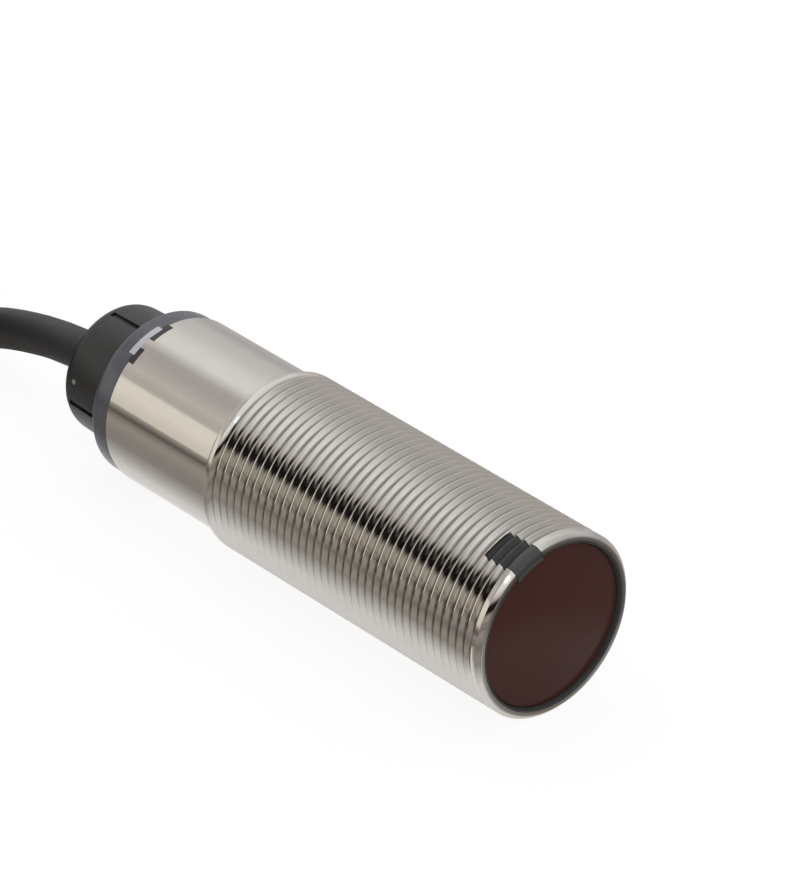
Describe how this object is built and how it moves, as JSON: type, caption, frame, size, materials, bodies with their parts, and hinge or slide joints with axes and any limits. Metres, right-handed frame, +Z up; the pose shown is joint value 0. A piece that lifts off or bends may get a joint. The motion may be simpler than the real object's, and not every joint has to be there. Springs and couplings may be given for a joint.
{
  "type": "through-beam photoelectric sensor",
  "caption": "Cylindrical threaded metal receiver of a through-beam sensor, with a flat dark red lens, rear indicator ring, cap and round cable ending in bare cores.",
  "frame": {"origin": "on the surface that the sensor lies on, under the middle of its body from lens holder to rear cap", "axes": "+X along the optical axis towards the target, +Z up; the body's axis is 9 mm above the surface"},
  "size_m": [0.1426, 0.056, 0.024],
  "materials": {
    "nickel_plated_brass": "nickel plated, bright turned",
    "black_moulding": "fine moulded",
    "red_filter_lens": "polished",
    "smoke_polycarbonate": "polished, translucent",
    "clear_light_guide": "polished, translucent",
    "black_rubber": "moulded",
    "circuit_board": "solder mask",
    "chip_epoxy": "moulded",
    "tinned_steel": "tin plated",
    "lamp_epoxy": "clear",
    "cable_pvc": "extruded",
    "core_brown_pvc": "extruded",
    "core_blue_pvc": "extruded",
    "core_white_pvc": "extruded",
    "core_black_pvc": "extruded",
    "tinned_copper": "stranded, tinned",
    "black_nylon": "moulded"
  },
  "bodies": {
    "root": {"amplifier_chip": "chip_epoxy", "board_carrier": "black_moulding", "cable_bush": "black_rubber", "cable_coil": "cable_pvc", "cable_end": "cable_pvc", "cable_sheath": "cable_pvc", "coil_tie": "black_nylon", "core_black": "core_black_pvc", "core_blue": "core_blue_pvc", "core_brown": "core_brown_pvc", "core_white": "core_white_pvc", "crimp_ring": "tinned_steel", "detector_board": "circuit_board", "filter_capacitor": "chip_epoxy", "free_core_black": "core_black_pvc", "free_core_blue": "core_blue_pvc", "free_core_brown": "core_brown_pvc", "free_core_white": "core_white_pvc", "front_lens": "red_filter_lens", "front_seal": "black_rubber", "indicator_ring": "smoke_polycarbonate", "indicator_window": "clear_light_guide", "lens_holder": "black_moulding", "light_baffle": "black_moulding", "logic_chip": "chip_epoxy", "main_board": "circuit_board", "operation_lamp": "lamp_epoxy", "output_transistor": "chip_epoxy", "photodiode": "chip_epoxy", "polarity_diode": "chip_epoxy", "rear_cap": "black_moulding", "rear_seal": "black_rubber", "shield_cover": "tinned_steel", "stability_lamp": "lamp_epoxy", "stripped_ends": "tinned_copper", "surge_diode": "chip_epoxy", "threaded_sleeve": "nickel_plated_brass", "voltage_regulator": "chip_epoxy"}
  },
  "joints": []
}
